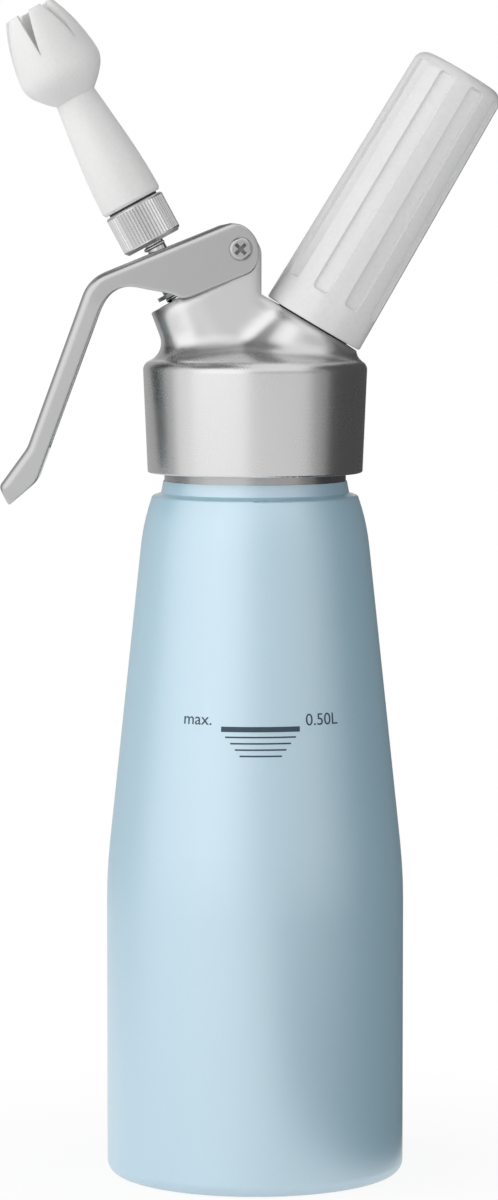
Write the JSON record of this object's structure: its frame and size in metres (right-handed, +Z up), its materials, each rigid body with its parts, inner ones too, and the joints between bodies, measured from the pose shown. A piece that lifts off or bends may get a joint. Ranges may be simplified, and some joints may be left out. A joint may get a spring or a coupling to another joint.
{
  "type": "whipped cream dispenser",
  "caption": "Half-litre whipped cream dispenser: tapered bottle, screw-on head with squeeze lever and spring valve, tulip decorating tip, and fluted charger holder.",
  "frame": {"origin": "bottle's axis on the plane the dispenser stands on", "axes": "+Z up along the bottle's axis, -X towards the lever and the decorating tip, +X towards the charger holder; symmetric about the XZ plane apart from screw, threads, slots and flutes"},
  "size_m": [0.1298, 0.078, 0.3077],
  "materials": {
    "lacquer": "matt pastel-blue lacquer on aluminium",
    "cast_aluminium": "fine-blasted satin casting",
    "lever_aluminium": "satin casting, brushed on its outer face",
    "steel": "turned stainless steel",
    "spring_steel": "drawn stainless wire",
    "screw_steel": "stamped stainless steel",
    "charger_steel": "smooth zinc-plated steel",
    "brass": "turned brass",
    "white_tip": "satin white polypropylene",
    "white_holder": "glossy white plastic",
    "dark_plastic": "dark grey acetal",
    "seal_rubber": "black food-grade rubber",
    "silicone": "grey silicone"
  },
  "bodies": {
    "bottle": {"bottle_shell": "lacquer"},
    "head_carrier": {"head_gasket": "silicone"},
    "head": {"head_casting": "cast_aluminium", "pivot_sleeve": "screw_steel", "pivot_screw": "screw_steel", "stem_guide": "dark_plastic", "stem_o_ring": "seal_rubber", "pin_housing": "brass", "piercing_pin": "steel", "charger_gasket": "seal_rubber", "check_sleeve": "seal_rubber", "valve_spring": "spring_steel"},
    "lever": {"lever": "lever_aluminium"},
    "stem": {"valve_stem": "steel", "valve_seal": "seal_rubber", "spring_collar": "dark_plastic", "retaining_clip": "spring_steel"},
    "tip_carrier": {"adapter_seal": "seal_rubber"},
    "tip": {"nozzle_adapter": "steel", "tip_ring": "dark_plastic", "decorator_tip": "white_tip"},
    "charger": {"gas_charger": "charger_steel", "charger_cap": "charger_steel"},
    "holder": {"charger_holder": "white_holder"}
  },
  "joints": [
    {"name": "head_lift", "type": "slide", "parent": "bottle", "child": "head_carrier", "axis": [0, 0, 1], "range_m": [0, 0.0175]},
    {"name": "head_turn", "type": "hinge", "parent": "head_carrier", "child": "head", "pos_m": [0, 0, 0.19], "axis": [0, 0, 1], "range_deg": [0, 1800]},
    {"name": "lever_pivot", "type": "hinge", "parent": "head", "child": "lever", "pos_m": [-0.00375, 0, 0.24295], "axis": [0, -1, 0], "range_deg": [0, 11]},
    {"name": "stem_slide", "type": "slide", "parent": "head", "child": "stem", "axis": [0.4741, 0, -0.8805], "range_m": [0, 0.0036], "stiffness_N_per_m": 1500, "springref_m": -0.003, "deforming": ["valve_spring"]},
    {"name": "tip_lift", "type": "slide", "parent": "stem", "child": "tip_carrier", "axis": [-0.4741, 0, 0.8805], "range_m": [0, 0.00675]},
    {"name": "tip_turn", "type": "hinge", "parent": "tip_carrier", "child": "tip", "pos_m": [-0.02678, 0, 0.24512], "axis": [-0.4741, 0, 0.8805], "range_deg": [0, 1620]},
    {"name": "holder_lift", "type": "slide", "parent": "head", "child": "charger", "axis": [0.509, 0, 0.8607], "range_m": [0, 0.011]},
    {"name": "holder_turn", "type": "hinge", "parent": "charger", "child": "holder", "pos_m": [0.0152, 0, 0.22352], "axis": [0.509, 0, 0.8607], "range_deg": [0, 1584]}
  ],
  "couplings": [
    {"joint": "head_turn", "follows": "head_lift", "rad_per_m": 1795.2},
    {"joint": "tip_turn", "follows": "tip_lift", "rad_per_m": 4188.8},
    {"joint": "holder_turn", "follows": "holder_lift", "rad_per_m": 2513.3},
    {"joint": "lever_pivot", "follows": "stem_slide", "rad_per_m": 51.948}
  ]
}
